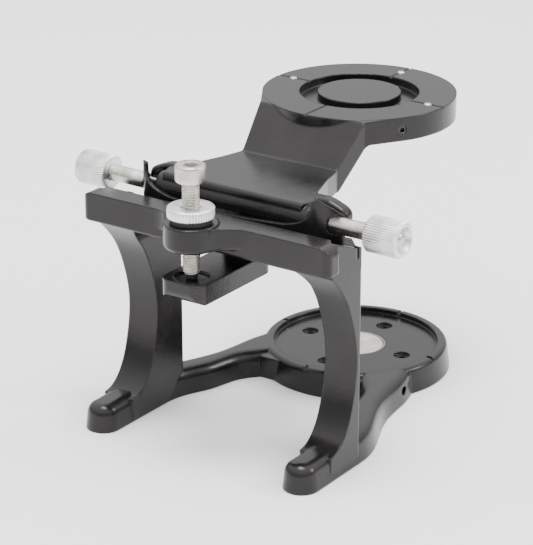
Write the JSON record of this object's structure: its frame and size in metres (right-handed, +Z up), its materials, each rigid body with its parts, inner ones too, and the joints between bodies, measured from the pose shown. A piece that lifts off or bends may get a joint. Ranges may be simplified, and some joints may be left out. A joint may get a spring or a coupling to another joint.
{
  "type": "dental articulator",
  "caption": "Small hinged dental articulator: black cast frames with a magnetic ring each, knurled hinge screws and a central height screw with lock nut.",
  "frame": {"origin": "on the bench, under the middle of the overall box", "axes": "+X along the hinge axis, +Y from the crossbar towards the mounting rings, +Z up"},
  "size_m": [0.111, 0.1228, 0.0893],
  "materials": {
    "black_paint": "satin black paint on cast metal",
    "steel": "turned stainless steel",
    "knurled_aluminium": "bright knurled aluminium",
    "dark_tip": "dark moulded tip",
    "dark_rubber": "black rubber",
    "plated_cup": "plated steel cup",
    "magnet": "nickel plated magnet",
    "black_steel": "blackened steel"
  },
  "bodies": {
    "lower": {"lower_frame": "black_paint", "magnet_cup_lower": "plated_cup", "magnet_lower": "magnet"},
    "upper": {"upper_frame": "black_paint", "magnet_cup_upper": "plated_cup", "magnet_upper": "magnet", "index_pin_left": "steel", "index_pin_right": "steel", "index_pin_back": "steel"},
    "hinge_left": {"hinge_screw_left": "steel", "knob_left": "knurled_aluminium"},
    "hinge_right": {"hinge_screw_right": "steel", "knob_right": "knurled_aluminium"},
    "screw_tip": {"screw_pad": "dark_tip"},
    "screw": {"height_screw": "steel"},
    "nut": {"lock_nut": "knurled_aluminium", "nut_washer": "dark_rubber"},
    "grub_low": {"grub_screw_lower": "black_steel"},
    "grub_up": {"grub_screw_upper": "black_steel"}
  },
  "joints": [
    {"name": "open", "type": "hinge", "parent": "lower", "child": "upper", "pos_m": [0, -0.03168, 0.072], "axis": [1, 0, 0], "range_deg": [0, 40]},
    {"name": "turn_hinge_left", "type": "hinge", "parent": "lower", "child": "hinge_left", "pos_m": [-0.045, -0.03168, 0.072], "axis": [-1, 0, 0], "continuous": true},
    {"name": "turn_hinge_right", "type": "hinge", "parent": "lower", "child": "hinge_right", "pos_m": [0.045, -0.03168, 0.072], "axis": [1, 0, 0], "continuous": true},
    {"name": "raise_screw", "type": "slide", "parent": "lower", "child": "screw_tip", "axis": [0, 0, 1], "range_m": [0, 0.006]},
    {"name": "turn_screw", "type": "hinge", "parent": "screw_tip", "child": "screw", "pos_m": [0, -0.05357, 0.07], "axis": [0, 0, 1], "range_deg": [-5, 2710]},
    {"name": "turn_nut", "type": "hinge", "parent": "lower", "child": "nut", "pos_m": [0, -0.05357, 0.075], "axis": [0, 0, 1], "continuous": true},
    {"name": "turn_grub_low", "type": "hinge", "parent": "lower", "child": "grub_low", "pos_m": [0.01483, 0.02263, 0.0039], "axis": [0.8499, -0.527, 0], "continuous": true},
    {"name": "turn_grub_up", "type": "hinge", "parent": "upper", "child": "grub_up", "pos_m": [0.0235, 0.01725, 0.085], "axis": [0.8499, -0.527, 0], "continuous": true}
  ],
  "couplings": [
    {"joint": "turn_screw", "follows": "raise_screw", "rad_per_m": 7854}
  ]
}
